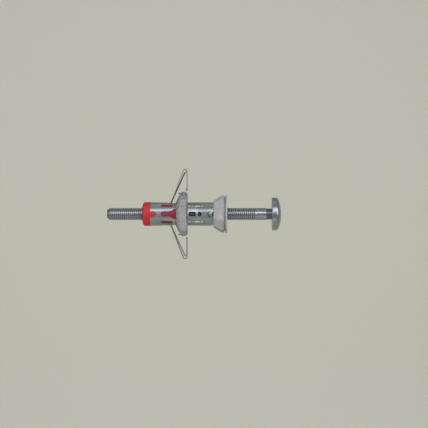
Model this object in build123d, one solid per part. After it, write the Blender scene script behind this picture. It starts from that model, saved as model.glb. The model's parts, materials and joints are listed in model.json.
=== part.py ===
from build123d import *
import os
from math import asin, cos, pi, radians, sin, sqrt, tan

# A hollow wall anchor as it sits in a board, with its sleeve folded out behind it. Millimetres.
# The screw lies along X with its head at +X. The board's outer face is x = 0, its back is towards -X,
# and +Z is up.

# The board and the hole drilled in it
board_thickness = 19.2
hole_radius = 6.0
hole_gap = 0.3  # between the sleeve and the hole

# Pressed steel sleeve
sheet = 0.5
sleeve_tail = 18.05  # how far it reaches behind the board
sleeve_front_edge = 1.5  # under the collar's lip, behind the board's outer face
leg_width = 3.7
leg_slope = 70.5  # degrees from the axis
crown_radius = 13.4  # to the outside of the folds
crown_depth = 5.59  # from the board's back to the corner where the legs rise
rear_bend = 1.45  # bend radii, on the sheet's inner face
front_bend = 0.75
spur_length = 1.5  # of the spur that stands on each fold
spur_width = 0.8
spur_lean = 130.0  # degrees from the axis

# Slots behind the board, as distances back from it
slot_width = 2.3
slot_rear = 12.95
flare_rear = 9.55
split_width = 1.6  # narrow slot in the root of each leg
split_front = 7.1
tab_width = 2.6  # notches in the rear edge, and the end sleeve's tabs
tab_length = 2.95
tab_gap = 0.03

# Weakening slots inside the hole, as distances forward from the board's back, each (start, length)
window_width = 2.0
window = (0.65, 3.25)
arrow = (5.1, 1.95)
arrow_point = 0.8
barb = (9.4, 1.3)
barb_width = 3.0
barb_slit = 0.35
gate = (12.0, 0.55)
gate_width = 2.1
dash_width = 1.4
dashes = [(0.3, 1.1), (2.15, 0.45), (3.4, 2.5), (6.6, 0.85)]

# Red nylon end sleeve
liner_gap = 0.05  # inside the steel
liner_front = 5.5  # behind the board
end_ring_length = 4.05
end_ring_proud = 0.1  # over the steel
end_ring_round = 1.4
end_cone = 0.75
passage_gap = 0.34  # loose round the screw

# Threaded steel insert
nut_length = 5.0
nut_cover = 1.9  # nylon behind it
nut_wall = 0.65  # nylon outside its corners
thread_gap = 0.06

# Grey nylon core, squeezed out between the legs and into their folds
core_side = 9.3  # from the axis to the middle of a side, between two legs
core_corner_round = 1.6
core_edge_round = 0.6
core_rear_lip = 0.15  # over the end sleeve
core_gap = 0.02
core_spigot = 0.3  # into the front of the sleeve
crease_radius = 0.3
crease_angle = 21.0

# Spring bows
wire_radius = 0.3
pivot_gap = 0.05
pivot_back = 8.66  # behind the board
pivot_floor = 0.4  # nylon between a foot's hole and the screw passage
foot_cover = 0.25  # nylon outside a foot's hole
root_spread = 0.7
tip_spread = 2.6
bar_spread = 3.2
bar_height = 11.6
near_slope = 65.3  # degrees from the axis
far_slope = 69.0
near_tip_bend = 0.6
far_tip_bend = 0.95
root_bend = 0.5
bar_bend = 0.9
board_touch = 0.05  # between the wire and the board
pocket_side = 0.25  # room beside the wire in its pocket
pocket_rear = 0.65
pocket_front = 1.6

# Grey nylon wall collar
collar_length = 6.6
collar_overhang = 3.5  # beyond the sleeve
flange_thickness = 0.85
groove_width = 0.5
groove_depth = 0.7
rib_inset = 0.2  # below the flange's edge
rib_rear_step = 0.9  # above the sleeve, at the cone's small end
rib_drop = 0.055  # share of the radius that each rib falls away by
rib_count = 10
rib_turn = 20.0
cone_length = 3.8
collar_gap = 0.02

# Machine screw
thread_radius = 2.96
screw_length = 80.0  # under the head
thread_length = 72.95
shank_step = 0.06  # in from the thread's crests
neck_step = 0.25  # in from the shank
neck_length = 2.5
point_length = 1.3
point_step = 1.06
clamp_length = 21.75  # from the board's outer face to the head
head_radius = 8.0
head_rim = 2.65
head_dome = 1.9
head_edge = 0.3
recess_span = 6.6
recess_width = 1.5
recess_depth = 2.8
recess_taper = 12.0

# Sizes that follow from the ones above
board_back = -board_thickness
sleeve_outer = hole_radius - hole_gap
sleeve_inner = sleeve_outer - sheet
sleeve_rear = board_back - sleeve_tail
shank_radius = thread_radius - shank_step
passage_radius = thread_radius + passage_gap
leg_corner = board_back - crown_depth
leg_tangent = tan(radians(leg_slope))
legs_start = leg_corner - rear_bend * tan(radians(leg_slope / 2))
return_x = board_back - sheet
leg_top = sleeve_inner + (return_x - leg_corner) * leg_tangent  # where the leg would meet its return
fold_radius = (leg_top - crown_radius + sheet) / (1 / tan(radians((90 - leg_slope) / 2)) - 1)
fold_centre = (return_x - fold_radius, crown_radius - sheet - fold_radius)
gap_height = leg_width / sqrt(2)  # height above the axis where two legs' sides would meet
liner_radius = sleeve_inner - liner_gap
liner_end = board_back - liner_front
end_rear = sleeve_rear - end_ring_length
nut_rear = end_rear + nut_cover
nut_corner = liner_radius - nut_wall
pivot_x = board_back - pivot_back
pivot_height = passage_radius + pivot_floor + pivot_gap + wire_radius
foot_hole = wire_radius + pivot_gap
foot_reach = sqrt((liner_radius - foot_cover - foot_hole) ** 2 - pivot_height**2)
collar_radius = sleeve_outer + collar_overhang
quarter_turns = [0, 90, 180, 270]


def turned(length_start, length_end, inner, outer):
    """A plain ring or rod about the screw axis."""
    middle = ((length_start + length_end) / 2, (inner + outer) / 2)
    return revolve(Pos(*middle) * Rectangle(length_end - length_start, outer - inner), Axis.X)


def revolved(points, radii):
    """A turned solid from the corners of its half section, each with its rounding."""
    return revolve(make_face(FilletPolyline(*points, radius=radii, close=True)), Axis.X)


def punched(outline, angle, low, high):
    """An outline drawn on the XY plane, pushed out between two radii at an angle about the axis."""
    return Rot(X=angle) * Pos(0, 0, low) * extrude(outline, amount=high - low)


def slot(start, end, width):
    """A square-ended slot along the axis."""
    return Pos((start + end) / 2, 0) * Rectangle(end - start, width)


def round_slot(start, end, width):
    """A slot along the axis with round ends."""
    return Pos((start + end) / 2, 0) * SlotOverall(end - start, width)


def sheet_section():
    """The folded sheet's half section: sleeve, rising leg, fold, and back down the board to the sleeve."""
    path = FilletPolyline(
        (sleeve_rear, sleeve_inner),
        (leg_corner, sleeve_inner),
        (return_x, leg_top),
        (return_x, sleeve_inner),
        (-sleeve_front_edge, sleeve_inner),
        radius=[rear_bend, fold_radius, front_bend],
    )
    return make_face(offset(path, amount=sheet, side=Side.LEFT).edges())


def spur():
    """The small spur that stands on a fold, drawn on the XY plane."""
    root = fold_radius + sheet / 2
    end = fold_radius + sheet + spur_length
    blade = extrude(slot(root, end, sheet), amount=spur_width / 2, both=True)
    return Pos(*fold_centre) * Rot(Z=spur_lean) * blade


def leg_gap():
    """The space between two neighbouring legs, over the whole crown."""
    wide = 2 * crown_radius
    wedge = Polygon((0, gap_height), (wide, gap_height + wide), (-wide, gap_height + wide), align=None)
    return Pos(legs_start, 0, 0) * extrude(Plane.YZ * wedge, amount=board_back - legs_start)


def flared_slot():
    """The slot between two legs, opening out like a trumpet to the legs' own sides."""
    half = slot_width / 2
    rear = board_back - slot_rear
    neck = board_back - flare_rear
    mouth = (sqrt(2 * sleeve_outer**2 - gap_height**2) - gap_height) / 2
    edges = [
        ThreePointArc((rear + half, half), (rear, 0), (rear + half, -half)),
        Line((rear + half, half), (neck, half)),
        TangentArc((neck, half), (legs_start, mouth), tangent=(1, 0)),
        Line((legs_start, mouth), (legs_start, -mouth)),
        TangentArc((neck, -half), (legs_start, -mouth), tangent=(1, 0)),
        Line((neck, -half), (rear + half, -half)),
    ]
    return make_face(edges)


def arrow_outline():
    """A short slot with a point towards the screw head."""
    start, length = arrow
    half = window_width / 2
    left = board_back + start
    shoulder = left + length - arrow_point
    corners = [(left, -half), (shoulder, -half), (left + length, 0), (shoulder, half), (left, half)]
    return Polygon(*corners, align=None)


def barb_outline():
    """A V-shaped slit that opens towards the screw head."""
    start, depth = barb
    tip = board_back + start
    half = barb_width / 2
    slit = barb_slit * sqrt(1 + (depth / half) ** 2)
    back = [(tip, 0), (tip + depth, -half)]
    front = [(tip + depth + slit, -half), (tip + slit, 0), (tip + depth + slit, half)]
    return Polygon(*back, *front, (tip + depth, half), align=None)


def forward_slot(place, width):
    """A square slot at a (start, length) place forward of the board's back."""
    start, length = place
    return slot(board_back + start, board_back + start + length, width)


def main_row():
    """All the cuts of one row in line with a gap between legs."""
    row = flared_slot() + forward_slot(window, window_width) + arrow_outline()
    row += barb_outline() + forward_slot(gate, gate_width)
    notch = tab_width + 2 * tab_gap
    return row + round_slot(sleeve_rear - notch, sleeve_rear + tab_length + tab_gap, notch)


def leg_row():
    """All the cuts of one row in line with a leg."""
    row = round_slot(board_back - slot_rear, board_back - split_front, split_width)
    for place in dashes:
        row += forward_slot(place, dash_width)
    return row


def folding_sleeve():
    """The sleeve, pressed from one sheet, with its legs folded out against the board's back."""
    sleeve = revolve(sheet_section(), Axis.X)
    low, high = sleeve_inner - sheet, sleeve_outer + sheet
    for angle in quarter_turns:
        sleeve -= Rot(X=angle) * leg_gap()
        sleeve -= punched(main_row(), angle, low, high)
        sleeve -= punched(leg_row(), angle + 45, low, high)
        sleeve += Rot(X=angle + 45) * spur()
    return sleeve


def hexagon_bar(corner_radius, start, end):
    """A hexagonal bar along the screw axis."""
    outline = Plane.YZ * RegularPolygon(corner_radius, 6)
    return Pos(start, 0, 0) * extrude(outline, amount=end - start)


def wire_pocket():
    """The opening in the end sleeve that lets the upper bow swing, with the holes for its feet."""
    half = root_spread + wire_radius + pocket_side
    floor = pivot_height - foot_hole
    start = pivot_x - pocket_rear
    outline = slot(start, pivot_x + pocket_front, 2 * half)
    feet = Pos(pivot_x, 0, pivot_height) * Rot(X=90) * Cylinder(foot_hole, 2 * (foot_reach + pivot_gap))
    return punched(outline, 0, floor, 2 * liner_radius) + feet


def end_sleeve():
    """The red nylon piece: an end ring, a liner inside the steel, and tabs that key into its notches."""
    end_ring_radius = sleeve_outer + end_ring_proud
    points = [
        (end_rear, passage_radius),
        (end_rear + end_cone, end_ring_radius),
        (sleeve_rear, end_ring_radius),
        (sleeve_rear, liner_radius),
        (liner_end, liner_radius),
        (liner_end, passage_radius),
    ]
    body = revolved(points, [0, end_ring_round, 0, 0, 0, 0])
    tab = round_slot(sleeve_rear - tab_width, sleeve_rear + tab_length, tab_width)
    shell = turned(sleeve_rear, sleeve_rear + tab_length, liner_radius - sheet, sleeve_outer)
    for angle in quarter_turns:
        body += punched(tab, angle, liner_radius - sheet, sleeve_outer + sheet) & shell
    body -= hexagon_bar(nut_corner, nut_rear, nut_rear + nut_length)
    for angle in (0, 180):
        body -= Rot(X=angle) * wire_pocket()
    return body


def thread_nut():
    """The steel insert that the screw pulls on, moulded into the end sleeve."""
    bore = turned(nut_rear, nut_rear + nut_length, 0, thread_radius + thread_gap)
    return hexagon_bar(nut_corner, nut_rear, nut_rear + nut_length) - bore


def core_outline():
    """The core's cross section: four nearly flat sides between the legs, and a round corner in each fold."""
    corner = crown_radius / sqrt(2)
    side = ThreePointArc((corner, -corner), (core_side, 0), (corner, corner))
    outline = make_face([Rot(Z=angle) * side for angle in quarter_turns])
    return Plane.YZ * fillet(outline.vertices(), core_corner_round)


def nylon_core():
    """The core that fills the folds and bulges between the legs, creased where it was squeezed."""
    face = return_x - core_gap
    rear = liner_end + core_gap
    lip = sleeve_inner + core_rear_lip
    fold_top = (face, lip + (face - rear) * leg_tangent)
    fill = revolved([(rear, 0), (rear, lip), fold_top, (face, 0)], [0, 0, fold_radius, 0])
    core = fill & Pos(rear, 0, 0) * extrude(core_outline(), amount=face - rear)
    rims = [edge for edge in core.edges() if rear < edge.center().X]
    core = fillet(rims, core_edge_round)
    ridge = core_side / cos(radians(crease_angle))
    bend = (rear + (ridge - lip) / leg_tangent, ridge)
    crease = FilletPolyline((rear, lip), bend, (face, ridge), radius=core_edge_round)
    groove = sweep(Plane(crease @ 0, z_dir=crease % 0) * Circle(crease_radius), crease)
    for angle in quarter_turns:
        for side in (-crease_angle, crease_angle):
            core -= Rot(X=angle + side) * groove
    core += turned(face, board_back + core_spigot, 0, liner_radius)
    return core - turned(rear, board_back + core_spigot, 0, passage_radius)


def spring_bow():
    """The upper wire bow: feet in the end sleeve, two arms out to the tips, and back to a cross bar."""
    board_side = board_back - board_touch - wire_radius
    reach = board_side - pivot_x
    near_corner = pivot_height + reach * tan(radians(near_slope))
    far_corner = pivot_height + reach * tan(radians(far_slope))
    path = FilletPolyline(
        (pivot_x, -foot_reach, pivot_height),
        (pivot_x, -root_spread, pivot_height),
        (board_side, -tip_spread, near_corner),
        (board_side, -bar_spread, bar_height),
        (board_side, bar_spread, bar_height),
        (board_side, tip_spread, far_corner),
        (pivot_x, root_spread, pivot_height),
        (pivot_x, foot_reach, pivot_height),
        radius=[root_bend, near_tip_bend, bar_bend, bar_bend, far_tip_bend, root_bend],
    )
    return sweep(Plane(path @ 0, z_dir=path % 0) * Circle(wire_radius), path)


def rib_outline(radius):
    """The collar's cross section: ribs that each fall away and step up to the next."""
    pitch = 2 * pi / rib_count
    corners = []
    for k in range(rib_count):
        start = radians(rib_turn) + k * pitch
        for share, angle in ((1, start), (1 - rib_drop, start + pitch)):
            corners.append((radius * share * cos(angle), radius * share * sin(angle)))
    return Plane.YZ * Polygon(*corners, align=None)


def wall_collar():
    """The grey nylon collar: a ribbed cone that bites into the hole's mouth, and a thin flange."""
    flange_rear = -flange_thickness
    groove_rear = flange_rear - groove_width
    cone_rear = -collar_length
    cone_front = cone_rear + cone_length
    rib_radius = collar_radius - rib_inset
    small = Pos(cone_rear, 0, 0) * rib_outline(sleeve_outer + rib_rear_step)
    large = Pos(cone_front, 0, 0) * rib_outline(rib_radius)
    collar = loft([small, large], ruled=True)
    collar += extrude(large, amount=groove_rear - cone_front)
    collar += turned(groove_rear, flange_rear, 0, rib_radius - groove_depth)
    collar += turned(flange_rear, 0, 0, collar_radius)
    lip_rear = -sleeve_front_edge + collar_gap
    collar -= turned(cone_rear, lip_rear, 0, sleeve_outer + collar_gap)
    return collar - turned(lip_rear, 0, 0, passage_radius)


def screw():
    """The machine screw, with its thread as a plain rod to the crests and a cross recess in its head."""
    tip = clamp_length - screw_length
    shank_start = tip + thread_length
    neck_start = clamp_length - neck_length
    rim_end = clamp_length + head_rim
    top = rim_end + head_dome
    outline = Polyline(
        (tip, 0),
        (tip, thread_radius - point_step),
        (tip + point_length, thread_radius),
        (shank_start, thread_radius),
        (shank_start, shank_radius),
        (neck_start, shank_radius),
        (neck_start, shank_radius - neck_step),
        (clamp_length, shank_radius - neck_step),
        (clamp_length, head_radius - head_edge),
        (clamp_length + head_edge, head_radius),
        (rim_end, head_radius),
    )
    dome_radius = (head_radius**2 + head_dome**2) / (2 * head_dome)
    half_angle = asin(head_radius / dome_radius) / 2
    halfway = (top - dome_radius * (1 - cos(half_angle)), dome_radius * sin(half_angle))
    dome = ThreePointArc((rim_end, head_radius), halfway, (top, 0))
    body = revolve(make_face([outline, dome, Line((top, 0), (tip, 0))]), Axis.X)
    cross = Rectangle(recess_span, recess_width) + Rectangle(recess_width, recess_span)
    seat = Plane(origin=(top, 0, 0), x_dir=(0, 1, 0), z_dir=(-1, 0, 0))
    return body - extrude(seat * cross, amount=recess_depth, taper=recess_taper)


upper_bow = spring_bow()
nodes = {
    "screw": screw(),
    "folding_sleeve": folding_sleeve(),
    "end_sleeve": end_sleeve(),
    "thread_nut": thread_nut(),
    "nylon_core": nylon_core(),
    "upper_spring_bow": upper_bow,
    "lower_spring_bow": mirror(upper_bow, about=Plane.XY),
    "wall_collar": wall_collar(),
}
os.makedirs("parts", exist_ok=True)
for name, solid in nodes.items():
    export_step(solid, f"parts/{name}.step")
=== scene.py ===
import bpy
import bmesh
import json
from math import cos, pi, radians, sin, sqrt
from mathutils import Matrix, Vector


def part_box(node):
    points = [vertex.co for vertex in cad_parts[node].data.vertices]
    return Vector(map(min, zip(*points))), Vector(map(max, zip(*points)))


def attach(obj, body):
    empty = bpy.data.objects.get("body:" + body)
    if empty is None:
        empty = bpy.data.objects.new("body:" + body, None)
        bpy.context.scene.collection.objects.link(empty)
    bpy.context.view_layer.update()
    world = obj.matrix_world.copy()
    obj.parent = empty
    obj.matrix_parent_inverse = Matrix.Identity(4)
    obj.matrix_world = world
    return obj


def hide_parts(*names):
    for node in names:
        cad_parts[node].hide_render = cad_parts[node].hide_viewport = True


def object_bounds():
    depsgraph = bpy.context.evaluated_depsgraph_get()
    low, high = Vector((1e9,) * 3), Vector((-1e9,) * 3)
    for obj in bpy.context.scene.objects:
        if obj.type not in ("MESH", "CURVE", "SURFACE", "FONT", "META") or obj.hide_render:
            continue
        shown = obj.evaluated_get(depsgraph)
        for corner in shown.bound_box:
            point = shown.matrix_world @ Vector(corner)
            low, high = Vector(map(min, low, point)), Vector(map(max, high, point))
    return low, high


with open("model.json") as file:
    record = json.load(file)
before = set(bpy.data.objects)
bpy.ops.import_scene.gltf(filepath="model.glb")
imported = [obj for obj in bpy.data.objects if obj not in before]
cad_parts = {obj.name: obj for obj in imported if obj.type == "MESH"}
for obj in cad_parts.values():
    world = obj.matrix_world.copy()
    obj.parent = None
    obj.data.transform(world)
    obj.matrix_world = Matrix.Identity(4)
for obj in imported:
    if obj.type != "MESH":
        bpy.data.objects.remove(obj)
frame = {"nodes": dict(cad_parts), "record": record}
cadLow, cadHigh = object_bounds()
mm = 0.001
print("frame loaded, CAD box", [round(v / mm, 1) for v in cadHigh - cadLow], "mm")


def linear(hexColour):  # sRGB hex to linear colour
    parts = [int(hexColour[i:i + 2], 16) / 255 for i in (1, 3, 5)]
    return [p / 12.92 if p <= 0.04045 else ((p + 0.055) / 1.055) ** 2.4 for p in parts] + [1]


# A link comes from a node's first output, or from the socket that is given. The colours of a colour mix go
# into its sockets 6 and 7 and come out of its output 2
def addNode(tree, kind, settings={}, links={}):
    node = tree.nodes.new(kind)
    for name, value in settings.items():
        if name == "stops":  # of a colour ramp: its (place, hex colour) pairs
            elements = node.color_ramp.elements
            while len(elements) < len(value):
                elements.new(0.5)
            for element, (place, colour) in zip(elements, value):
                element.position = place
                element.color = linear(colour)
        elif isinstance(name, str) and hasattr(node, name):
            setattr(node, name, value)
        else:
            node.inputs[name].default_value = value
    for name, source in links.items():
        tree.links.new(getattr(source, "outputs", [source])[0], node.inputs[name])
    return node


def newMaterial(name, shader):
    material = bpy.data.materials.new(name)
    material.use_nodes = True
    tree = material.node_tree
    tree.nodes.clear()
    surface = addNode(tree, "ShaderNodeBsdfPrincipled", shader)
    addNode(tree, "ShaderNodeOutputMaterial", {}, {"Surface": surface})
    place = addNode(tree, "ShaderNodeTexCoord").outputs["Object"]
    return material, tree, surface, place


def distanceFromScrew(tree, place):  # how far a point is from the screw's axis, in metres
    across = addNode(tree, "ShaderNodeVectorMath", {"operation": "MULTIPLY", 1: (0, 1, 1)}, {0: place})
    return addNode(tree, "ShaderNodeVectorMath", {"operation": "LENGTH"}, {0: across}).outputs["Value"]


def bandAlong(tree, place, start, end):  # 1 between two places along the screw's axis, 0 outside them
    along = addNode(tree, "ShaderNodeSeparateXYZ", {}, {0: place})
    return addNode(tree, "ShaderNodeMath",
                   {"operation": "COMPARE", 1: (start + end) / 2, 2: (end - start) / 2}, {0: along})


def mottle(tree, place, look):  # soft patches between a finish's dark and light tones
    patch = addNode(tree, "ShaderNodeTexNoise", {"Scale": 1 / (look["patchMm"] * mm), "Detail": 3.0},
                    {"Vector": place})
    low, high = look["patchSpread"]
    return addNode(tree, "ShaderNodeValToRGB", {"stops": [(low, look["dark"]), (high, look["light"])]},
                   {"Fac": patch})


def linesAlong(tree, place, lengthMm, widthMm):  # streaks drawn out along the screw's axis
    size = (1 / (lengthMm * mm), 1 / (widthMm * mm), 1 / (widthMm * mm))
    drawnOut = addNode(tree, "ShaderNodeMapping", {"Scale": size}, {"Vector": place})
    return addNode(tree, "ShaderNodeTexNoise", {"Scale": 1.0, "Detail": 2.0}, {"Vector": drawnOut})


def addGrain(tree, surface, place, look, under={}):  # a fine grain in the gloss and in the surface itself
    grain = addNode(tree, "ShaderNodeTexNoise",
                    {"Scale": 1 / (look["grainMm"] * mm), "Detail": look["grainDetail"]}, {"Vector": place})
    gloss = addNode(tree, "ShaderNodeMapRange", {"To Min": look["smooth"], "To Max": look["rough"]},
                    {"Value": grain})
    tree.links.new(gloss.outputs[0], surface.inputs["Roughness"])
    bump = addNode(tree, "ShaderNodeBump", {"Distance": look["grainDepthMm"] * mm},
                   {"Height": grain, **under})
    tree.links.new(bump.outputs[0], surface.inputs["Normal"])


# Zinc-plated pressed steel sheet: bluish silver and faintly cloudy, with rolling lines along the sleeve and
# bright edges where the die sheared it, made brighter as a painted highlight along the legs' cut edges. Where
# it was bent round the folds the plating is crazed and duller.
# Real rolling lines are about 0.05 mm apart: they are drawn at 0.25 mm to show
sheetLook = {
    "light": "#a2a7ab", "dark": "#8b9094", "patchMm": 4, "patchSpread": (0.35, 0.65),
    "lineLengthMm": 6, "lineWidthMm": 0.25, "lineDepthMm": 0.006, "smooth": 0.28, "rough": 0.46,
    "strained": "#a2a6a6", "strainFromMm": 6.0, "strainToMm": 9.0, "strainRough": 0.1,
    "crazeMm": 0.4, "crazeDepthMm": 0.03, "shearedEdge": "#c9ced1",
}


def zincPlatedSheet(look):
    material, tree, surface, place = newMaterial("zincPlatedSheet", {"Metallic": 1.0})
    strain = addNode(tree, "ShaderNodeMapRange",
                     {"From Min": look["strainFromMm"] * mm, "From Max": look["strainToMm"] * mm},
                     {"Value": distanceFromScrew(tree, place)})
    strained = addNode(tree, "ShaderNodeMix", {"data_type": "RGBA", 7: linear(look["strained"])},
                       {0: strain, 6: mottle(tree, place, look)})
    # The sheared edges' bright tone is partly bare cut steel and partly a painted highlight along the legs'
    # edges
    edge = addNode(tree, "ShaderNodeAttribute", {"attribute_name": "shearedEdge"}).outputs["Fac"]
    colour = addNode(tree, "ShaderNodeMix", {"data_type": "RGBA", 7: linear(look["shearedEdge"])},
                     {0: edge, 6: strained.outputs[2]})
    tree.links.new(colour.outputs[2], surface.inputs["Base Color"])
    lines = linesAlong(tree, place, look["lineLengthMm"], look["lineWidthMm"])
    gloss = addNode(tree, "ShaderNodeMapRange", {"To Min": look["smooth"], "To Max": look["rough"]},
                    {"Value": lines})
    dulled = addNode(tree, "ShaderNodeMath", {"operation": "MULTIPLY_ADD", 1: look["strainRough"]},
                     {0: strain, 2: gloss})
    tree.links.new(dulled.outputs[0], surface.inputs["Roughness"])
    lineBump = addNode(tree, "ShaderNodeBump", {"Distance": look["lineDepthMm"] * mm}, {"Height": lines})
    craze = addNode(tree, "ShaderNodeTexNoise", {"Scale": 1 / (look["crazeMm"] * mm), "Detail": 3.0},
                    {"Vector": place})
    crazeBump = addNode(tree, "ShaderNodeBump", {"Distance": look["crazeDepthMm"] * mm},
                        {"Height": craze, "Strength": strain, "Normal": lineBump})
    tree.links.new(crazeBump.outputs[0], surface.inputs["Normal"])
    return material


# Zinc-plated cold-formed steel: greyer and smoother than the sheet. Rolling has burnished the thread, whose
# roots are darker with oil and painted shade; the point, thinner than the roots, takes the same painted
# shade.
# The undercut neck is painted dark as the shade under the head. The real grain is too fine to show, so it is
# drawn at 0.5 mm
screwLook = {
    "light": "#a1a7ac", "dark": "#878d93", "patchMm": 3, "patchSpread": (0.35, 0.65), "neck": "#666a6e",
    "burnished": "#979ca1", "crestMm": 2.82, "oilAndShade": "#7d8287", "rootMm": 2.7,
    "grainMm": 0.5, "grainDetail": 3.0, "grainDepthMm": 0.002, "smooth": 0.22, "rough": 0.36,
}


def zincPlatedThread(look, threadEnd, neckStart, neckEnd):
    material, tree, surface, place = newMaterial("zincPlatedThread", {"Metallic": 1.0})
    # Darker towards the thread roots and at the point, which is thinner than the roots: oil and painted shade
    crest = addNode(tree, "ShaderNodeMapRange",
                    {"From Min": look["rootMm"] * mm, "From Max": look["crestMm"] * mm},
                    {"Value": distanceFromScrew(tree, place)})
    thread = addNode(tree, "ShaderNodeMix",
                     {"data_type": "RGBA", 6: linear(look["oilAndShade"]), 7: linear(look["burnished"])}, {0: crest})
    # The neck band between neckStart and neckEnd gets a painted shade, the shadow under the head
    smoothPart = addNode(tree, "ShaderNodeMix", {"data_type": "RGBA", 7: linear(look["neck"])},
                         {0: bandAlong(tree, place, neckStart, neckEnd), 6: mottle(tree, place, look)})
    along = addNode(tree, "ShaderNodeSeparateXYZ", {}, {0: place})
    shank = addNode(tree, "ShaderNodeMath", {"operation": "GREATER_THAN", 1: threadEnd}, {0: along})
    colour = addNode(tree, "ShaderNodeMix", {"data_type": "RGBA"},
                     {0: shank, 6: thread.outputs[2], 7: smoothPart.outputs[2]})
    tree.links.new(colour.outputs[2], surface.inputs["Base Color"])
    addGrain(tree, surface, place, look)
    return material


# Hard-drawn spring steel wire: dull grey. The upper bow is painted darker and browner on its -Y arm, short of
# the board, as a dark reflection; the lower one gets the same painted dark reflection, paler and in patches.
# The die's scratches are too fine to show, so they are drawn as a 0.2 mm grain
upperWireLook = {
    "bare": "#93948d", "darkReflection": "#4f4f48", "darkReflectionEdgeMm": (-0.3, 0.3), "patchMm": 1.6, "patchDepthMm": 0.8,
    "brightEndMm": 1.0, "grainMm": 0.2, "grainDetail": 2.0, "grainDepthMm": 0.006, "smooth": 0.3, "rough": 0.5,
}
lowerWireLook = dict(upperWireLook, darkReflection="#77776f", darkReflectionEdgeMm=(-6.0, 6.0), patchDepthMm=9.0)


def drawnSpringWire(name, look, boardSide):
    material, tree, surface, place = newMaterial(name, {"Metallic": 1.0})
    patch = addNode(tree, "ShaderNodeTexNoise", {"Scale": 1 / (look["patchMm"] * mm), "Detail": 3.0},
                    {"Vector": place})
    apart = addNode(tree, "ShaderNodeSeparateXYZ", {}, {0: place})
    # The dark tone towards -Y is a painted dark reflection, with a ragged edge
    ragged = addNode(tree, "ShaderNodeMath", {"operation": "MULTIPLY_ADD", 1: look["patchDepthMm"] * mm},
                     {0: patch, 2: apart.outputs["Y"]})
    low, high = [(edge + look["patchDepthMm"] / 2) * mm for edge in look["darkReflectionEdgeMm"]]
    brightPart = addNode(tree, "ShaderNodeMapRange", {"From Min": low, "From Max": high}, {"Value": ragged})
    brightFrom = boardSide - look["brightEndMm"] * mm
    end = addNode(tree, "ShaderNodeMath", {"operation": "GREATER_THAN", 1: brightFrom}, {0: apart})
    bare = addNode(tree, "ShaderNodeMath", {"operation": "MAXIMUM"}, {0: brightPart, 1: end})
    colour = addNode(tree, "ShaderNodeValToRGB", {"stops": [(0, look["darkReflection"]), (1, look["bare"])]},
                     {"Fac": bare})
    tree.links.new(colour.outputs[0], surface.inputs["Base Color"])
    addGrain(tree, surface, place, look)
    return material


# Injection-moulded red nylon: deep red right through with a satin skin, and painted shade low in the slots
redLook = {
    "light": "#bf161f", "dark": "#a81019", "patchMm": 2, "patchSpread": (0.3, 0.7),
    "slotShade": "#8e1a2b", "linerMm": 5.2, "skinEdgeMm": 5.6,
    "grainMm": 0.12, "grainDetail": 4.0, "grainDepthMm": 0.01, "smooth": 0.48, "rough": 0.66,
}


def mouldedRedNylon(look):
    material, tree, surface, place = newMaterial("mouldedRedNylon", {"IOR": 1.53})
    # Below the sleeve's radius, on the liner in the slots, a darker red paints the shade
    proud = addNode(tree, "ShaderNodeMapRange",
                    {"From Min": look["linerMm"] * mm, "From Max": look["skinEdgeMm"] * mm},
                    {"Value": distanceFromScrew(tree, place)})
    colour = addNode(tree, "ShaderNodeMix", {"data_type": "RGBA", 6: linear(look["slotShade"])},
                     {0: proud, 7: mottle(tree, place, look)})
    tree.links.new(colour.outputs[2], surface.inputs["Base Color"])
    addGrain(tree, surface, place, look)
    return material


# Injection-moulded grey nylon: matt and faintly mottled, with flow lines along the draw of the mould, and
# drilling dust and painted shade low in the groove under the flange
collarLook = {
    "light": "#a9a9aa", "dark": "#959495", "patchMm": 3, "patchSpread": (0.3, 0.7),
    "dustAndShade": "#6a686b", "dustAndShadeAlongMm": (-1.4, -0.8), "dustAndShadeBelowMm": 8.6,
    "flowLengthMm": 5, "flowWidthMm": 0.5, "flowDepthMm": 0.02,
    "grainMm": 0.15, "grainDetail": 4.0, "grainDepthMm": 0.015, "smooth": 0.45, "rough": 0.65,
}
# The same nylon where it was squeezed out of the sleeve: painted darker and greener as the shade between the
# legs, and torn into a finer, deeper mottle
coreLook = dict(collarLook, light="#9c9d9a", dark="#828481", patchMm=1.5,
                flowLengthMm=0.6, flowWidthMm=0.6, flowDepthMm=0.06)


def mouldedGreyNylon(name, look):
    material, tree, surface, place = newMaterial(name, {"IOR": 1.53})
    start, end = look["dustAndShadeAlongMm"]
    # Low in the groove under the flange the nylon is darker: drilling dust and painted shade
    deep = addNode(tree, "ShaderNodeMath", {"operation": "LESS_THAN", 1: look["dustAndShadeBelowMm"] * mm},
                   {0: distanceFromScrew(tree, place)})
    dustAndShadeMask = addNode(tree, "ShaderNodeMath", {"operation": "MULTIPLY"},
                    {0: bandAlong(tree, place, start * mm, end * mm), 1: deep})
    colour = addNode(tree, "ShaderNodeMix", {"data_type": "RGBA", 7: linear(look["dustAndShade"])},
                     {0: dustAndShadeMask, 6: mottle(tree, place, look)})
    tree.links.new(colour.outputs[2], surface.inputs["Base Color"])
    flow = linesAlong(tree, place, look["flowLengthMm"], look["flowWidthMm"])
    flowBump = addNode(tree, "ShaderNodeBump", {"Distance": look["flowDepthMm"] * mm}, {"Height": flow})
    addGrain(tree, surface, place, look, {"Normal": flowBump})
    return material


def addPiece(name, mesh, material, body, replaced):
    mesh.materials.clear()
    mesh.materials.append(material)
    piece = bpy.data.objects.new(name, mesh)
    bpy.context.scene.collection.objects.link(piece)
    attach(piece, body)
    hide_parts(replaced)
    print(name, "made,", len(mesh.polygons), "faces")


def smooth(mesh, angle):  # smooth shading that stays crisp on edges sharper than the angle
    for face in mesh.polygons:
        face.use_smooth = True
    mesh.set_sharp_from_angle(angle=radians(angle))
    return mesh


def mountPlace(name):  # where the part's record puts a mount
    return Vector(next(m["pos_m"] for m in frame["record"]["mounts"] if m["name"] == name))


weldMm = 0.0005  # corners closer than this become one


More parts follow.
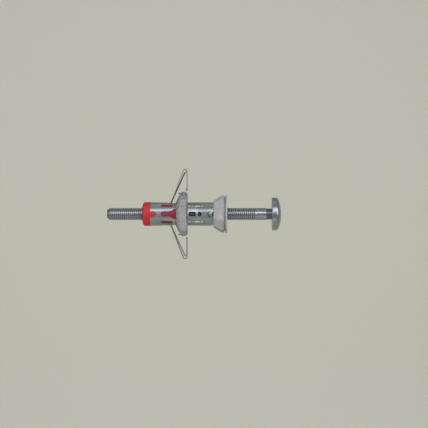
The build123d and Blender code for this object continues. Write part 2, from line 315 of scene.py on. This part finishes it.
# Screw: rolled M6 thread with its run-out, plain shank, undercut neck, and a broad low head. Sizes in mm
screwShape = {
    "pitch": 1.0, "crest": 3.0, "threadDepth": 0.3, "threadLength": 72.95, "runOut": 1.6, "stepsRound": 64,
    "pointRadius": 1.9, "pointLength": 1.3, "shank": 2.9,
    "neck": 2.65, "neckLength": 2.5, "neckRound": 0.25, "neckSteps": 4,
    "head": 8.0, "dome": 1.9, "domeRings": 16, "rimEdge": 0.35, "rimSteps": 5,
    "brow": 0.9, "browOnRim": 0.54, "browCorner": 0.05, "browSteps": 6,
    "recessSpan": 6.6, "recessWidth": 1.5, "recessDepth": 2.8, "cutterAbove": 1.0,
    "recessFloorSpan": 4.6, "recessFloorWidth": 0.45, "smooth": 38,
}
# One pitch of the thread, as (share of the pitch, share of the depth) with rounded crests and roots. The real
# thread is 0.6 deep with narrow crests: it is drawn shallower and broader so that the rod keeps its thickness
threadForm = [
    (0.0, 1.0), (0.06, 0.95), (0.11, 0.78), (0.27, 0.1), (0.32, 0.0),
    (0.68, 0.0), (0.73, 0.1), (0.89, 0.78), (0.94, 0.95),
]


def threadColumns(shape, tip):  # (place, radius) points from the tip to the shank, one column for each step
    end = tip + shape["threadLength"]
    turns = int(shape["threadLength"] / shape["pitch"]) + 2
    columns = []
    for j in range(shape["stepsRound"]):
        column = []
        for k in range(-1, turns):
            for share, depth in threadForm:
                x = min(max(tip + (k + share + j / shape["stepsRound"]) * shape["pitch"], tip), end)
                r = shape["crest"] - depth * shape["threadDepth"]
                bevel = (x - tip) / shape["pointLength"] * (shape["crest"] - shape["pointRadius"])
                r = min(r, shape["pointRadius"] + bevel)
                fade = min(max((x - end) / shape["runOut"] + 1, 0), 1)  # the run-out eases up to the shank
                column.append((x, r + (shape["shank"] - r) * fade * fade * (3 - 2 * fade)))
        columns.append(column)
    return columns


def roundCorner(start, corner, end, steps):  # points on a curve from start to end that bends at the corner
    points = []
    for i in range(steps + 1):
        t = i / steps
        shares = ((1 - t) ** 2, 2 * t * (1 - t), t * t)
        points.append(tuple(sum(w * p[k] for w, p in zip(shares, (start, corner, end))) for k in (0, 1)))
    return points


def headOutline(shape, seat, top):  # from the neck to the top of the head
    neck, head, edge, turn = shape["neck"], shape["head"], shape["rimEdge"], shape["neckRound"]
    rimEnd = top - shape["dome"]
    ball = (head ** 2 + shape["dome"] ** 2) / (2 * shape["dome"])  # radius of the dome
    neckStart = seat - shape["neckLength"]
    points = [(neckStart - turn, shape["shank"]), (neckStart, neck)]
    points += roundCorner((seat - turn, neck), (seat, neck), (seat, neck + turn), shape["neckSteps"])
    points += roundCorner((seat, head - edge), (seat, head), (seat + edge, head), shape["rimSteps"])
    browRadius = head - shape["brow"]
    brow = (top - ball + sqrt(ball ** 2 - browRadius ** 2), browRadius)  # where the rim meets the dome
    points += roundCorner((rimEnd - shape["browOnRim"], head), (rimEnd + shape["browCorner"], head), brow,
                          shape["browSteps"])
    for i in range(1, shape["domeRings"]):
        r = browRadius * (1 - i / shape["domeRings"])
        points.append((top - ball + sqrt(ball ** 2 - r ** 2), r))
    return points


def recessCutter(shape, top):  # a tapered cross, standing out of the head's top
    mouth = (top + shape["cutterAbove"], shape["recessSpan"], shape["recessWidth"])
    floor = (top - shape["recessDepth"], shape["recessFloorSpan"], shape["recessFloorWidth"])
    verts = []
    for x, span, width in (mouth, floor):
        s, w = span / 2, width / 2
        outline = [(s, -w), (s, w), (w, w), (w, s), (-w, s), (-w, w),
                   (-s, w), (-s, -w), (-w, -w), (-w, -s), (w, -s), (w, -w)]
        verts += [(x * mm, y * mm, z * mm) for y, z in outline]
    corners = len(verts) // 2
    sides = [(i, (i + 1) % corners, corners + (i + 1) % corners, corners + i) for i in range(corners)]
    ends = [tuple(range(corners)), tuple(range(2 * corners - 1, corners - 1, -1))]
    mesh = bpy.data.meshes.new("recess")
    mesh.from_pydata(verts, [], ends + sides)
    form = bmesh.new()
    form.from_mesh(mesh)
    bmesh.ops.recalc_face_normals(form, faces=form.faces)
    form.to_mesh(mesh)
    form.free()
    return mesh


def cutBy(mesh, cutterMesh):  # the mesh with the cutter's shape taken out of it
    block = bpy.data.objects.new("block", mesh)
    cutter = bpy.data.objects.new("cutter", cutterMesh)
    for item in (block, cutter):
        bpy.context.scene.collection.objects.link(item)
    cut = block.modifiers.new("cut", "BOOLEAN")
    cut.operation, cut.solver, cut.object = "DIFFERENCE", "EXACT", cutter
    bpy.context.view_layer.update()
    result = bpy.data.meshes.new_from_object(block.evaluated_get(bpy.context.evaluated_depsgraph_get()))
    for item in (block, cutter):
        bpy.data.objects.remove(item)
    return result


def screwMesh(shape):
    tip, top = [corner.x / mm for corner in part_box("screw")]
    outline = headOutline(shape, mountPlace("head_seat").x / mm, top)
    columns = threadColumns(shape, tip)
    steps, threadCount = shape["stepsRound"], len(columns[0])
    count = threadCount + len(outline)
    verts, faces = [], []
    for j, column in enumerate(columns):
        angle = 2 * pi * j / steps
        for x, r in column + outline:
            verts.append((x * mm, r * mm * cos(angle), r * mm * sin(angle)))
    for j in range(steps):
        following = (j + 1) % steps
        shift = len(threadForm) if following == 0 else 0  # a full turn on, the thread is one pitch along
        for m in range(count - 1):
            ends = [min(i + shift, threadCount - 1) if i < threadCount else i for i in (m, m + 1)]
            near, far = j * count, following * count
            faces.append((near + m, near + m + 1, far + ends[1], far + ends[0]))
    verts += [(tip * mm, 0, 0), (top * mm, 0, 0)]
    for j in range(steps):
        near, far = j * count, (j + 1) % steps * count
        faces.append((len(verts) - 2, near, far))
        faces.append((len(verts) - 1, far + count - 1, near + count - 1))
    mesh = bpy.data.meshes.new("screw")
    mesh.from_pydata(verts, [], faces)
    form = bmesh.new()
    form.from_mesh(mesh)
    bmesh.ops.remove_doubles(form, verts=form.verts, dist=weldMm * mm)
    bmesh.ops.dissolve_degenerate(form, edges=form.edges, dist=weldMm * mm)
    bmesh.ops.recalc_face_normals(form, faces=form.faces)
    form.to_mesh(mesh)
    form.free()
    return cutBy(mesh, recessCutter(shape, top))


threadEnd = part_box("screw")[0].x + screwShape["threadLength"] * mm
neckEnd = mountPlace("head_seat").x
neckStart = neckEnd - screwShape["neckLength"] * mm
threadSteel = zincPlatedThread(screwLook, threadEnd, neckStart, neckEnd)
screwSkin = smooth(screwMesh(screwShape), screwShape["smooth"])
addPiece("threadedScrew", screwSkin, threadSteel, "screw", "screw")


# A pressed, moulded or bent piece keeps its true outline, with its sharp edges broken. Faces that lie within
# flatAngle of each other are joined first. Angles in degrees
flatAngle = 0.3


def edgeBroken(node, shape):
    mesh = frame["nodes"][node].data.copy()
    form = bmesh.new()
    form.from_mesh(mesh)
    bmesh.ops.remove_doubles(form, verts=form.verts, dist=weldMm * mm)
    bmesh.ops.dissolve_limit(form, angle_limit=radians(flatAngle), verts=form.verts, edges=form.edges)
    if shape["breakMm"]:
        sharp = radians(shape["sharp"])
        edges = [e for e in form.edges if e.is_manifold and abs(e.calc_face_angle(0)) > sharp]
        bmesh.ops.bevel(form, geom=edges, offset=shape["breakMm"] * mm, offset_type="WIDTH", segments=2,
                        profile=0.6, affect="EDGES", clamp_overlap=True)
    bmesh.ops.triangulate(form, faces=[f for f in form.faces if len(f.verts) > 4])
    form.to_mesh(mesh)
    form.free()
    for name in [a.name for a in mesh.attributes if a.name == "custom_normal"]:  # they fit the old faces
        mesh.attributes.remove(mesh.attributes[name])
    return smooth(mesh, shape["smooth"])


# Folding sleeve: sheared and folded sheet. A face is across the sheet's thickness where it points round the
# screw by more than sideLean or, inside the sleeve's radius, along the screw by more than endLean
sleeveShape = {"breakMm": 0.05, "sharp": 35, "smooth": 30, "radiusMm": 5.75, "sideLean": 0.6, "endLean": 0.7}


def markShearedEdges(mesh, shape):  # the faces where the blank was cut
    values = []
    for face in mesh.polygons:
        spoke = Vector((0, face.center.y, face.center.z))
        reach = spoke.length
        side = abs(face.normal.cross(spoke / reach).x) > shape["sideLean"]
        end = abs(face.normal.x) > shape["endLean"] and reach < shape["radiusMm"] * mm
        values.append(float(side or end))
    mesh.attributes.new("shearedEdge", "FLOAT", "FACE").data.foreach_set("value", values)
    return mesh


sleeveSkin = markShearedEdges(edgeBroken("folding_sleeve", sleeveShape), sleeveShape)
addPiece("foldedSleeve", sleeveSkin, zincPlatedSheet(sheetLook), "anchor", "folding_sleeve")

# End sleeve, and the steel insert moulded into it
endShape = {"breakMm": 0.06, "sharp": 35, "smooth": 30}
endSkin = edgeBroken("end_sleeve", endShape)
addPiece("redEndSleeve", endSkin, mouldedRedNylon(redLook), "anchor", "end_sleeve")
insertShape = {"breakMm": 0.08, "sharp": 35, "smooth": 30}
insertSkin = edgeBroken("thread_nut", insertShape)
addPiece("steelInsert", insertSkin, threadSteel, "anchor", "thread_nut")

# Core and collar, both of grey nylon
coreShape = {"breakMm": 0, "smooth": 35}  # its edges are already round
coreNylon = mouldedGreyNylon("squeezedGreyNylon", coreLook)
coreSkin = edgeBroken("nylon_core", coreShape)
addPiece("squeezedCore", coreSkin, coreNylon, "anchor", "nylon_core")
collarShape = {"breakMm": 0.08, "sharp": 12, "smooth": 30}
collarNylon = mouldedGreyNylon("mouldedGreyNylon", collarLook)
collarSkin = edgeBroken("wall_collar", collarShape)
addPiece("ribbedCollar", collarSkin, collarNylon, "anchor", "wall_collar")

# Spring bows, each one bent wire
bowShape = {"breakMm": 0.03, "sharp": 60, "smooth": 40}
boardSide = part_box("upper_spring_bow")[1].x
upperWire = drawnSpringWire("drawnSpringWireUpper", upperWireLook, boardSide)
upperSkin = edgeBroken("upper_spring_bow", bowShape)
addPiece("upperWireBow", upperSkin, upperWire, "upper_bow", "upper_spring_bow")
lowerWire = drawnSpringWire("drawnSpringWireLower", lowerWireLook, boardSide)
lowerSkin = edgeBroken("lower_spring_bow", bowShape)
addPiece("lowerWireBow", lowerSkin, lowerWire, "lower_bow", "lower_spring_bow")


# Camera, level and looking along +Y. Sizes in m, the lens in mm
cameraLook = {"wide": 0.208, "centre": (-0.0064, 0, 0.0), "lens": 135}
cameraData = bpy.data.cameras.new("camera")
cameraData.lens = cameraLook["lens"]
camera = bpy.data.objects.new("camera", cameraData)
bpy.context.scene.collection.objects.link(camera)
distance = cameraLook["wide"] * cameraData.lens / cameraData.sensor_width
camera.location = Vector(cameraLook["centre"]) + Vector((0, -distance, 0))
camera.rotation_euler = (radians(90), 0, 0)
bpy.context.scene.camera = camera


# Soft studio light: a wide box above the camera, one at each end, weak ones below and overhead, and a pale
# room. Places and sizes in m, power in W
lightLook = {
    "keyBox": {"place": (-0.016, -0.42, 0.235), "size": (0.6, 0.24), "power": 1.0, "colour": "#fbfdff"},
    "leftBox": {"place": (-0.52, -0.30, 0.12), "size": (0.4, 0.4), "power": 1.6, "colour": "#ffffff"},
    "rightBox": {"place": (0.49, -0.30, 0.12), "size": (0.4, 0.4), "power": 1.6, "colour": "#ffffff"},
    "lowBox": {"place": (-0.10, -0.14, -0.15), "size": (0.4, 0.16), "power": 0.04, "colour": "#e8eeff"},
    "topBox": {"place": (-0.016, 0.05, 0.60), "size": (0.5, 0.4), "power": 0.2, "colour": "#ffffff"},
}
middle = (cadLow + cadHigh) / 2
for name, box in lightLook.items():
    data = bpy.data.lights.new(name, "AREA")
    data.shape = "RECTANGLE"
    data.size, data.size_y = box["size"]
    data.energy = box["power"]
    data.color = linear(box["colour"])[:3]
    light = bpy.data.objects.new(name, data)
    bpy.context.scene.collection.objects.link(light)
    light.visible_camera = False
    light.location = box["place"]
    light.rotation_euler = (middle - light.location).to_track_quat("-Z", "Y").to_euler()

roomLook = {"colour": "#c4c8ca", "strength": 0.6}
room = bpy.data.worlds.new("room")
room.use_nodes = True
room.node_tree.nodes["Background"].inputs["Color"].default_value = linear(roomLook["colour"])
room.node_tree.nodes["Background"].inputs["Strength"].default_value = roomLook["strength"]
bpy.context.scene.world = room
bpy.context.scene.view_settings.view_transform = "Standard"


# Paper backdrop: a matt sheet that sweeps from the floor up the wall. Sizes in m
backdropLook = {
    "colour": "#d7d6c9", "rough": 0.9, "floor": -0.30, "wall": 0.50, "sweep": 0.2, "sweepSteps": 12,
    "wide": 9.0, "front": -4.0, "top": 1.5, "smooth": 60,
}


def backdropMesh(look):
    profile = [(look["front"], look["floor"])]
    for i in range(look["sweepSteps"] + 1):
        turn = i / look["sweepSteps"] * pi / 2
        y = look["wall"] - look["sweep"] * (1 - sin(turn))
        z = look["floor"] + look["sweep"] * (1 - cos(turn))
        profile.append((y, z))
    profile.append((look["wall"], look["top"]))
    verts = [(side * look["wide"] / 2, y, z) for y, z in profile for side in (-1, 1)]
    faces = [(2 * i, 2 * i + 1, 2 * i + 3, 2 * i + 2) for i in range(len(profile) - 1)]
    mesh = bpy.data.meshes.new("backdrop")
    mesh.from_pydata(verts, [], faces)
    return smooth(mesh, look["smooth"])


paperShader = {"Base Color": linear(backdropLook["colour"]), "Roughness": backdropLook["rough"]}
paper = newMaterial("backdropPaper", paperShader)[0]
backdrop = bpy.data.objects.new("backdrop", backdropMesh(backdropLook))
backdrop.data.materials.append(paper)
bpy.context.scene.collection.objects.link(backdrop)
print("lights, camera and backdrop placed")
